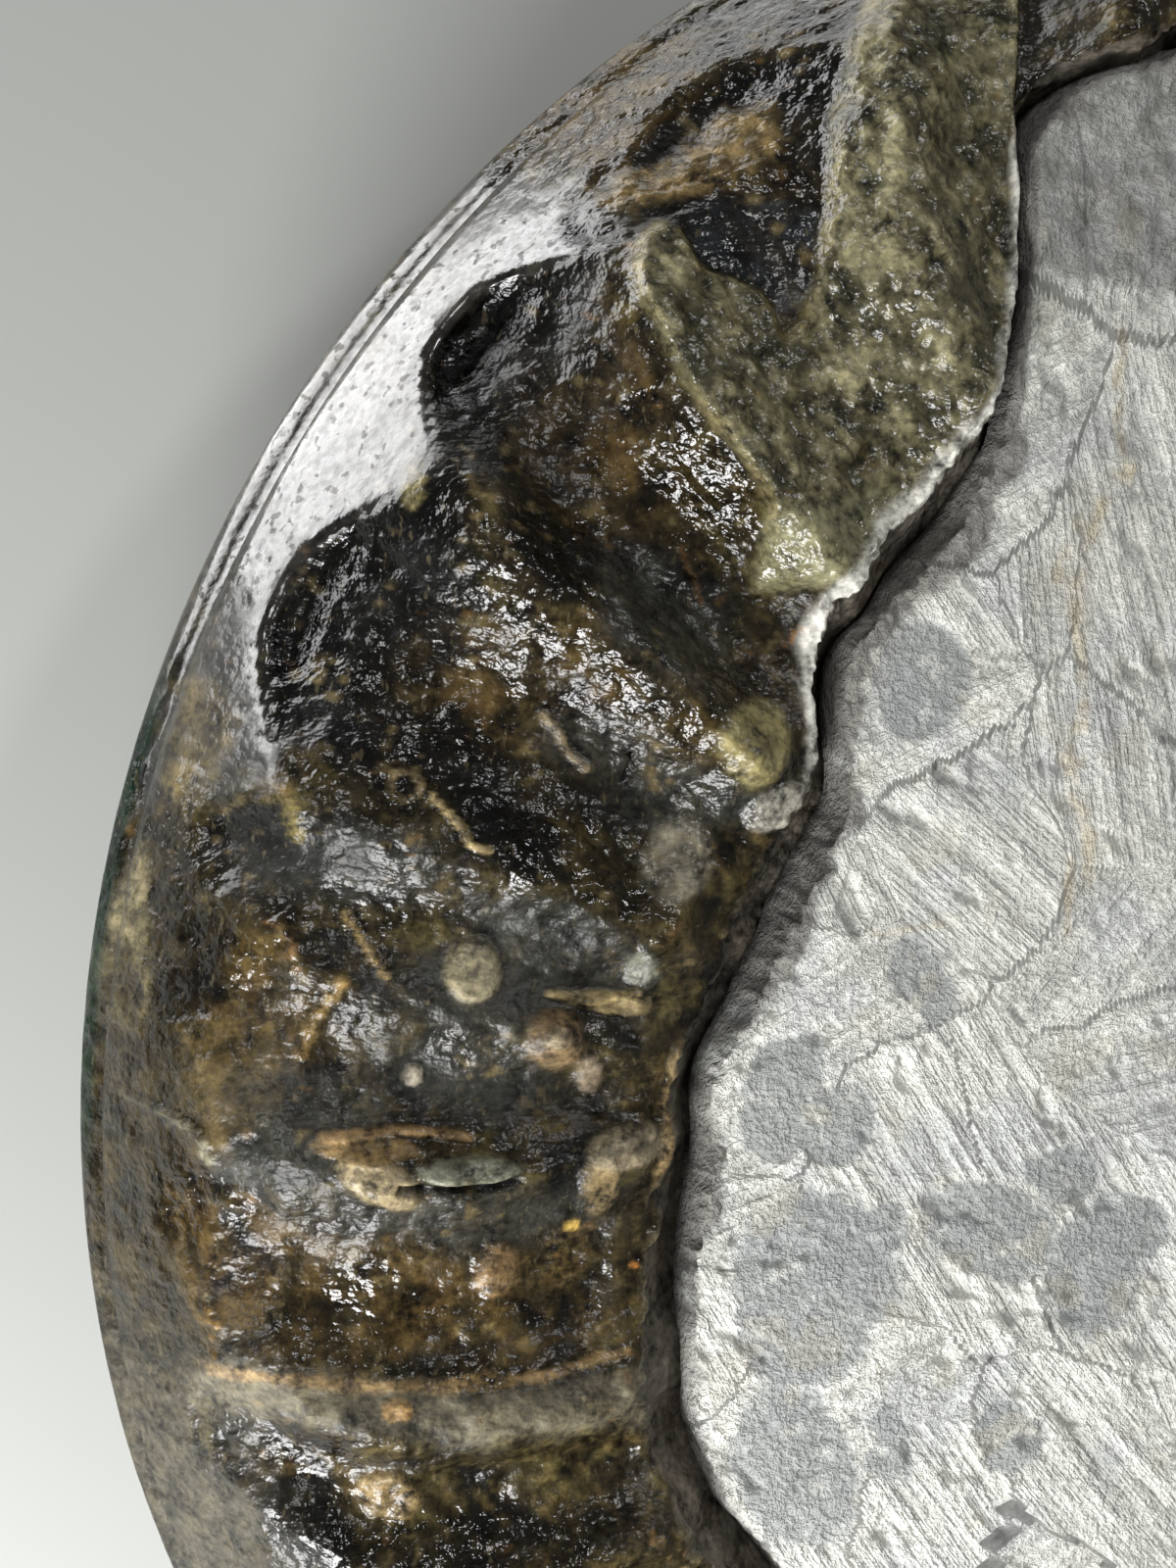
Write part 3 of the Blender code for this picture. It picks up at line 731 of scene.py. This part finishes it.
marks = dict(tint=spread(tint, fromScreen(52, 44, 33)), satin=spread(satin, 0.15),
             hammered=spread(hammered, 0.0),
             shoulder=spread(shoulder, 0.0))
used, faces = dropLoose(points, faces)
points = points[used]
marks = {name: values[used] for name, values in marks.items()}
print("stage 4: the coil has", len(points), "points and", sum(len(f) - 2 for f in faces), "triangles")
coilPiece = meshOf("ammonite_shell", toFrame(points), faces, marks)
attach(coilPiece, "root")
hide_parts("ammonite")


# the stone over the hub; places and sizes are in the picture
stone = dict(
    apart=150.0, curve=0.0000120, uneven=0.00042, rounding=0.00005, pitch=11.5,
    smooth=(((940, 690), (48, 60), 0), ((800, 1120), (44, 66), 20), ((840, 1290), (84, 76), -20),
            ((820, 1360), (66, 60), 0),
            ((810, 1500), (62, 84), -20), ((910, 1492), (28, 26), 0), ((913, 1455), (20, 18), 0),
            ((1030, 1474), (32, 36), 0),
            ((1010, 1255), (72, 50), 20), ((1120, 1300), (50, 60), 0), ((940, 1000), (30, 48), -20),
            ((1090, 1200), (40, 34), 0),
            ((730, 1040), (40, 20), -30), ((1160, 1250), (40, 40), 0), ((905, 1250), (30, 24), 0),
            ((860, 1150), (40, 40), 0)),
    stains=((((1080, 590), (1096, 540), (1130, 505), (1158, 480)), 9),
            (((1158, 480), (1146, 420), (1142, 330)), 6),
            (((1100, 590), (1104, 640), (1112, 720)), 7), (((1112, 720), (1100, 800), (1108, 900)), 9),
            (((1085, 880), (1090, 960)), 6), (((1130, 505), (1100, 560)), 8), (((880, 955), (960, 945)), 4)),
    scaly=((1052, -300), (1045, 100), (1050, 262), (1085, 292), (1200, 300), (1400, 310), (1400, -300)),
)


# relief, colours and tool strokes on the stone's upper side, inset being the way in from its edge in metres
def dressStone(grid, inset):
    x, y = toPicture(grid)
    fine, wide = rough(grid, 0.0020, 3, 3.0), rough(grid, 0.0090, 3, 9.0)
    wx, wy = x + 12 * wide + 4 * fine, y + 12 * rough(grid, 0.0070, 3, 19.0) + 3 * fine
    rng = np.random.default_rng(7)
    across = np.arange(500.0, 2500.0, stone["apart"])
    places = [(cx + rng.uniform(-0.42, 0.42) * stone["apart"], cy + rng.uniform(-0.42, 0.42)
               * stone["apart"])
              for cx in across for cy in np.arange(-900.0, 2500.0, stone["apart"])]
    lowest, second = np.full(x.shape, 1e9), np.full(x.shape, 1e9)
    shared = np.zeros(x.shape)
    stroke = np.zeros((*x.shape, 3))
    for number, (cx, cy) in enumerate(places):
        steep = (86 + rng.normal(0, 7) if cx > 930 and cy < 930
                 else (58 + rng.normal(0, 9) if rng.random() < 0.72 else -28 + rng.normal(0, 10)))
        turn = math.radians(steep)
        dx, dy = wx - cx, wy - cy
        along = dx * math.cos(turn) + dy * math.sin(turn)
        over = -dx * math.sin(turn) + dy * math.cos(turn)
        cut = (stone["curve"] * 0.003 * ((along / 2.0) ** 2 + over ** 2) + rng.uniform(-1, 1)
               * stone["uneven"]
               + rng.normal(0, 0.9e-6) * along + rng.normal(0, 0.9e-6) * over)
        shared += np.exp(-cut / stone["rounding"])
        owned = cut < lowest
        second = np.where(owned, lowest, np.minimum(second, cut))
        lowest = np.where(owned, cut, lowest)
        true = -(x - cx) * math.sin(turn) + (y - cy) * math.cos(turn)
        down = (x - cx) * math.cos(turn) + (y - cy) * math.sin(turn)
        stroke[owned] = np.stack([true / stone["pitch"], down / stone["pitch"],
                                  np.full(x.shape, number * 3.7)], -1)[owned]
    smooth = np.zeros(x.shape)
    for place, size, turn in stone["smooth"]:
        smooth = np.maximum(smooth, blob(wx + 6 * fine, wy - 6 * fine, place, size, turn, 0.09))
    for number in range(34):
        place = (rng.uniform(700, 2300), rng.uniform(-600, 2300))
        size = rng.uniform(26, 80) * np.array((1.0, rng.uniform(0.7, 1.3)))
        if not (place[0] < 1240 and -40 < place[1] < 1640):
            smooth = np.maximum(smooth, blob(wx + 6 * fine, wy - 6 * fine, place, size,
                                             rng.uniform(-60, 60), 0.09))
    scaly = step(-6, 8, inside(stone["scaly"], wx, wy))
    rounded = -stone["rounding"] * np.log(shared)
    rise = np.clip(rounded, -0.0008, 0.0012) * (1 - 0.6 * smooth) + 0.00005 * fine - 0.00022 * smooth
    drawn = rough(stroke * np.array((0.50, 0.05, 1.0)), 1.0, 2, 5.3)
    rise += 0.00013 * drawn * (1 - smooth) * (1 - scaly) * step(0.0, 0.00008, second - lowest)
    rise += (0.00016 * (1 - smooth) * rough(grid, 0.0035, 3, 39.0) - 0.00045 * step(0.30, 0.6,
                                                                                    rough(grid, 0.005, 3,
                                                                                          79.0)))
    rise += scaly * (0.0006 + 0.00055 * rough(grid, 0.0040, 4, 49.0))
    tint = np.broadcast_to(fromScreen(211, 211, 204), (*x.shape, 3)).copy()
    tint = paint(tint, step(0.0, 0.7, wide) * 0.5, fromScreen(186, 188, 190))
    tint = paint(tint, step(0.0, 0.8, -wide) * 0.4, fromScreen(218, 216, 210))
    tint = paint(tint, smooth * 0.8 * step(-1.2, -0.1, fine), fromScreen(144, 147, 147))
    tint = paint(tint, scaly * 0.85, fromScreen(146, 146, 143))
    tint = paint(tint, scaly * 0.6 * step(0.1, 0.6, fine), fromScreen(100, 98, 92))
    for line, width in stone["stains"]:
        mask = 1 - step(0.4 * width, 1.5 * width, toLine(line, wx, y + 4 * fine))
        tint = paint(tint, mask * 0.45 * step(-0.5, 0.3, fine), fromScreen(190, 172, 128))
    tint = paint(tint, 0.22 * step(0.30, 0.55, rough(grid, 0.006, 3, 59.0)), fromScreen(196, 184, 160))
    # the side over the groove gets painted shade, dark, and brown in the lower part of the picture
    wider = (0.0022 * (step(112, 116, stoneColumns) * (1 - step(134, 138, stoneColumns)))[:, None] + 0.0012
             * step(0.1, 0.5, wide))
    depth = inset - 0.0006 - wider - 0.0008 * wide - 0.0005 * fine
    shadedSide = 1 - step(-0.0003, 0.0004, depth)
    rise += shadedSide * 0.00045 * rough(grid, 0.0021, 3, 99.3)
    tint = paint(tint, shadedSide * 0.9, fromScreen(104, 100, 92))
    tint = paint(tint, shadedSide * 0.6 * step(0.0, 0.5, rough(grid, 0.004, 2, 69.0)), fromScreen(58, 52, 45))
    # painted shade, fading in from the side
    tint = paint(tint, (1 - step(0.0, 0.0016, depth)) * 0.45, fromScreen(150, 148, 144))
    border = 1 - step(0.0, 0.00003, second - lowest)
    return rise, tint, stroke, np.maximum(np.maximum(smooth, border), np.maximum(0.7 * shadedSide, scaly * 0.8))


def stoneGrid(angles):
    angle = angles[:, None]
    edge, edgeRadius, height, groove, depth = seatAt(angle)
    side = edgeRadius - groove - 0.0002
    calm = softRamp(seat["edge"], angle, 5.0) * rimRadius(angle) - 0.0030
    rise = 0.2 * height * 0.0027 / (groove + 0.0024)
    rim = softRamp(seat["rim"], angle, 6.0)
    rows = [(side - seat["slope"], seat["floor"] + 0.0003 + 0 * angle),
            (side - 0.003, 0.8 * height - depth + 0.00075),
            (side, 0.8 * height - depth + rise + 0.00075)]
    low = rows[-1][1]
    for share in (0.3, 0.6, 0.85, 1.0):
        rows.append((side - 0.0006 * share, low + (rim - low) * share))
    count = 150
    for number in range(1, count):
        share = (1 - number / count) ** 0.82
        level = seat["middle"] + (rim - seat["middle"]) * share ** 2
        free = step(1.0, 0.86, share)
        rows.append(((side - 0.0006) * share * (1 - free) + calm * share * free, level))
    inset = np.stack([np.maximum(side - r, 0)[:, 0] * np.ones(len(angles)) for r, h in rows], axis=1)
    return np.stack([polar(angle[:, 0], r[:, 0], h[:, 0] * np.ones(len(angles))) for r, h in rows],
                    axis=1), inset


stoneColumns = np.concatenate([np.linspace(20, 98, 35)[:-1], np.linspace(98, 211, 521),
                               np.linspace(211, 380, 73)[1:-1]])
grid, inset = stoneGrid(stoneColumns)
count, rows = grid.shape[:2]
rise, tint, stroke, plain = dressStone(grid, inset)
rise[:, :3] = 0
rise[:, 3:7] *= np.array((0.1, 0.4, 0.8, 1.0))
rise[:, -6:] *= np.linspace(1, 0, 6)
# painted shade: the stone's lowest rows, down into the groove, are a darker copy of the row above
tint[:, :6] = tint[:, 5:6] * 0.75
grid[..., 2] += rise
broken = (0.0014 * np.abs(rough(grid[:, 3:11], 0.0034, 3, 83.0)) * np.array((0.3, 0.7, 1, 1, 0.9, 0.7, 0.4,
                                                                             0.15)))
grid[:, 3:11, :2] *= (1 - broken / np.hypot(grid[:, 3:11, 0], grid[:, 3:11, 1]))[..., None]
stonePoints = [p for column in grid for p in column]
index = np.arange(count * rows).reshape(count, rows)
stoneFaces = []
for c in range(count):
    after = (c + 1) % count
    for r in range(rows - 1):
        stoneFaces.append([int(index[c, r]), int(index[c, r + 1]), int(index[after, r + 1]),
                           int(index[after, r])])
stoneFaces += fanRings(stonePoints, [int(i) for i in index[:, 0]], np.array((0, 0, seat["floor"] + 0.0003)),
                       (), still)
stoneFaces += [f[::-1] for f in fanRings(stonePoints, [int(i) for i in index[:, -1]][::-1],
                                         np.array((0, 0, seat["middle"])), (), still)]
stonePoints = np.array(stonePoints)
extra = len(stonePoints) - count * rows
grey = fromScreen(150, 150, 148)
stoneMarks = dict(tint=np.vstack([tint.reshape(-1, 3), np.tile(grey, (extra, 1))]),
                  stroke=np.vstack([stroke.reshape(-1, 3), np.zeros((extra, 3))]),
                  plain=np.concatenate([plain.ravel(), np.ones(extra)]))
print("stage 5: the stone has", len(stonePoints), "points and", sum(len(f) - 2 for f in stoneFaces),
      "triangles")
stonePiece = meshOf("hub_matrix", toFrame(stonePoints), stoneFaces, stoneMarks)
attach(stonePiece, "root")
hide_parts("matrix")


def outwards(piece):
    bpy.ops.object.select_all(action="DESELECT")
    piece.select_set(True)
    bpy.context.view_layer.objects.active = piece
    bpy.ops.object.mode_set(mode="EDIT")
    bpy.ops.mesh.select_all(action="SELECT")
    bpy.ops.mesh.normals_make_consistent(inside=False)
    bpy.ops.object.mode_set(mode="OBJECT")


for piece in (coilPiece, stonePiece):
    outwards(piece)


def plainMaterial(name, colour, roughness):
    made = bpy.data.materials.new(name)
    made.use_nodes = True
    shader = made.node_tree.nodes["Principled BSDF"]
    shader.inputs["Base Color"].default_value = (*colour, 1.0)
    shader.inputs["Roughness"].default_value = roughness
    return made


# an output of a shader node, which can be added, multiplied and so on
class Wire:
    def __init__(self, tree, socket):
        self.tree, self.socket = tree, socket

    def maths(self, kind, first, second):
        node = self.tree.nodes.new("ShaderNodeMath")
        node.operation = kind
        for number, value in enumerate((first, second)):
            if isinstance(value, Wire):
                self.tree.links.new(value.socket, node.inputs[number])
            else:
                node.inputs[number].default_value = value
        return Wire(self.tree, node.outputs[0])

    def __add__(self, other):
        return self.maths("ADD", self, other)

    def __radd__(self, other):
        return self.maths("ADD", self, other)

    def __sub__(self, other):
        return self.maths("SUBTRACT", self, other)

    def __rsub__(self, other):
        return self.maths("SUBTRACT", other, self)

    def __mul__(self, other):
        return self.maths("MULTIPLY", self, other)

    def above(self, low, high):
        return Wire.node(self.tree, "MapRange", {"interpolation_type": "SMOOTHSTEP"},
                         {"Value": self, "From Min": low, "From Max": high}).out("Result")

    def out(self, name):
        return Wire(self.tree, self.socket.node.outputs[name])

    # a colour between two, by this share
    def mixed(self, first, second):
        node = Wire.node(self.tree, "Mix", {"data_type": "RGBA"}, {0: self, 6: first, 7: second}).socket.node
        return Wire(self.tree, node.outputs[2])

    def into(self, socket):
        self.tree.links.new(self.socket, socket)

    @staticmethod
    def node(tree, kind, settings=None, values=None):
        made = tree.nodes.new("ShaderNode" + kind)
        for name, value in (settings or {}).items():
            setattr(made, name, value)
        for name, value in (values or {}).items():
            if isinstance(value, Wire):
                tree.links.new(value.socket, made.inputs[name])
            else:
                made.inputs[name].default_value = value
        return Wire(tree, made.outputs[0])


def newMaterial(name):
    made = bpy.data.materials.new(name)
    made.use_nodes = True
    return made, made.node_tree, made.node_tree.nodes["Principled BSDF"]


# a mark of the mesh, as set by meshOf
def markOf(tree, name, output):
    return Wire.node(tree, "Attribute", {"attribute_name": name}).out(output)


def noiseOf(tree, where, scale, detail=3.0, roughness=0.55):
    return Wire.node(tree, "TexNoise", {}, {"Vector": where, "Scale": scale, "Detail": detail,
                                            "Roughness": roughness}).out("Fac")


def shellMaterial():
    made, tree, shader = newMaterial("varnished shell")
    where = Wire.node(tree, "TexCoord").out("Object")
    satin, hammered, shoulder = (markOf(tree, name, "Fac") for name in ("satin", "hammered", "shoulder"))
    grain = noiseOf(tree, where, 1100.0, 3.0, 0.65)
    streaks = noiseOf(tree, Wire.node(tree, "Mapping", {}, {"Vector": where, "Scale": (1.0, 0.4, 1.0)}),
                      1300.0, 2.0, 0.6)
    clouds = noiseOf(tree, where, 260.0, 3.0, 0.6)
    darkness = grain.above(0.30, 0.72) * 1.0 + clouds.above(0.34, 0.66) * 0.8 + 0.05
    colour = Wire.node(tree, "VectorMath", {"operation": "SCALE"}, {0: markOf(tree, "tint", "Color"),
                                                                    "Scale": darkness})
    flecks = streaks.above(0.62, 0.72) * (1.0 - shoulder) * 0.34
    colour = flecks.mixed(colour, (0.16, 0.13, 0.07, 1.0))
    colour.into(shader.inputs["Base Color"])
    gloss = satin * 0.42 + clouds.above(0.45, 0.75) * 0.14 + hammered * 0.10 + 0.15
    gloss.into(shader.inputs["Roughness"])
    crust = noiseOf(tree, where, 1050.0, 2.0, 0.5)
    wrinkles = noiseOf(tree, Wire.node(tree, "Mapping", {}, {"Vector": where, "Rotation": (0.0, 0.0, 0.7),
                                                             "Scale": (0.4, 1.0, 1.0)}),
                       1700.0, 1.0, 0.4)
    lumps = noiseOf(tree, where, 520.0, 1.0, 0.5)
    height = lumps * 0.50 + crust * 0.22 + wrinkles * 0.15 + noiseOf(tree, where, 3000.0, 0.0, 0.4) * 0.04
    cells = Wire.node(tree, "TexVoronoi", {"feature": "F1"},
                      {"Vector": where, "Scale": 430.0}).out("Distance")
    height = height + cells * hammered * 0.6
    pits = noiseOf(tree, where, 800.0, 2.0, 0.5).above(0.60, 0.66) * shoulder
    height = height * (1.0 - shoulder * 0.62) * (1.0 - satin * 0.10)
    bump = Wire.node(tree, "Bump", {}, {"Height": height, "Strength": 1.0, "Distance": 0.0009}).out("Normal")
    bump.into(shader.inputs["Normal"])
    (shoulder * (1.0 - pits) * (0.55 + crust.above(0.35, 0.6) * 0.35)).into(shader.inputs["Coat Weight"])
    shader.inputs["Specular IOR Level"].default_value = 0.38
    shader.inputs["Coat Roughness"].default_value = 0.11
    return made


def stoneMaterial():
    made, tree, shader = newMaterial("worked limestone")
    where = Wire.node(tree, "TexCoord").out("Object")
    stroke = markOf(tree, "stroke", "Vector")
    plain = markOf(tree, "plain", "Fac")
    tint = markOf(tree, "tint", "Color")
    long = Wire.node(tree, "VectorMath", {"operation": "MULTIPLY"}, {0: stroke, 1: (1.0, 0.10, 1.0)})
    drawn = noiseOf(tree, long, 1.15, 2.0, 0.60) * 0.62 + noiseOf(tree, long, 0.42, 2.0, 0.5) * 0.70 - 0.16
    hair = noiseOf(tree, long, 4.0, 2.0, 0.6)
    grain = noiseOf(tree, where, 2400.0, 2.0, 0.6)
    clouds = noiseOf(tree, where, 500.0, 2.0, 0.6)
    bare = 1.0 - plain
    speckle = noiseOf(tree, where, 1300.0, 3.0, 0.7).above(0.32, 0.68)
    # painted light and shade: the strokes are lighter where they stand high and darker in their grooves
    darkness = (grain * 0.45 + clouds * 0.30 + speckle * 0.24 + (drawn.above(0.3, 0.7) * 0.44 - 0.22)
                * bare + 0.50)
    colour = Wire.node(tree, "VectorMath", {"operation": "SCALE"}, {0: tint, "Scale": darkness})
    colour.into(shader.inputs["Base Color"])
    height = (drawn * 1.35 + hair * 0.24 - 0.795) * bare + grain * 0.16 + speckle * 0.22 + clouds * 0.5
    bump = Wire.node(tree, "Bump", {}, {"Height": height, "Strength": 1.0,
                                        "Distance": 0.00105}).out("Normal")
    bump.into(shader.inputs["Normal"])
    shader.inputs["Roughness"].default_value = 0.82
    shader.inputs["Specular IOR Level"].default_value = 0.3
    return made


coilPiece.data.materials.append(shellMaterial())
stonePiece.data.materials.append(stoneMaterial())

# floor, lights and camera
bpy.ops.mesh.primitive_plane_add(size=4.0, location=(0.0, 0.0, 0.0))
floor = bpy.context.active_object
floor.name = "floor"
floor.data.materials.append(plainMaterial("pale floor", (0.42, 0.43, 0.41), 0.9))

world = bpy.data.worlds.new("soft room")
world.use_nodes = True
world.node_tree.nodes["Background"].inputs["Color"].default_value = (0.84, 0.85, 0.84, 1.0)
world.node_tree.nodes["Background"].inputs["Strength"].default_value = 0.17
bpy.context.scene.world = world


def areaLight(name, place, aim, size, power, sizeY=None):
    bpy.ops.object.light_add(type="AREA", location=place)
    made = bpy.context.active_object
    made.name = name
    made.data.energy = power
    made.data.shape = "RECTANGLE"
    made.data.size = size
    made.data.size_y = sizeY or size
    made.rotation_euler = (Vector(aim) - Vector(place)).to_track_quat("-Z", "Y").to_euler()
    return made


# two panels lie on the floor beyond the picture's corner, and only the smooth shoulder mirrors them
for name, middle, width, length, strength in (("left_panel", (-0.300, 0.265), 0.330, 0.380, 23.5),
                                              ("far_panel", (-0.070, 0.290), 0.125, 0.330, 5.0)):
    low = areaLight(name, (*middle, 0.002), (*middle, 1.0), width, strength * width * length, sizeY=length)
    low.rotation_euler = (math.pi, 0.0, 0.0)
    low.visible_camera = False
areaLight("high", (0.42, 0.56, 0.84), (-0.06, 0.03, 0.03), 0.15, 2.6)
areaLight("left_key", (-0.70, 0.50, 1.10), (-0.06, 0.03, 0.03), 0.30, 4.4)
areaLight("front", (-0.25, -0.20, 0.15), (-0.16, -0.10, 0.0), 0.12, 1.55)


def addCamera():
    forward = Vector(turning @ np.array(view["forward"]))
    right = Vector(turning @ np.array(view["right"]))
    up = right.cross(forward)
    data = bpy.data.cameras.new("camera")
    data.sensor_fit = "VERTICAL"
    data.sensor_height = 36.0
    data.lens = 36.0 * view["focal"] / 1600.0
    data.clip_start = 0.01
    made = bpy.data.objects.new("camera", data)
    bpy.context.scene.collection.objects.link(made)
    axes = Matrix((right, up, -forward)).transposed()
    made.matrix_world = Matrix.Translation(Vector(toFrame(np.array([view["place"]]))[0])) @ axes.to_4x4()
    bpy.context.scene.camera = made


addCamera()
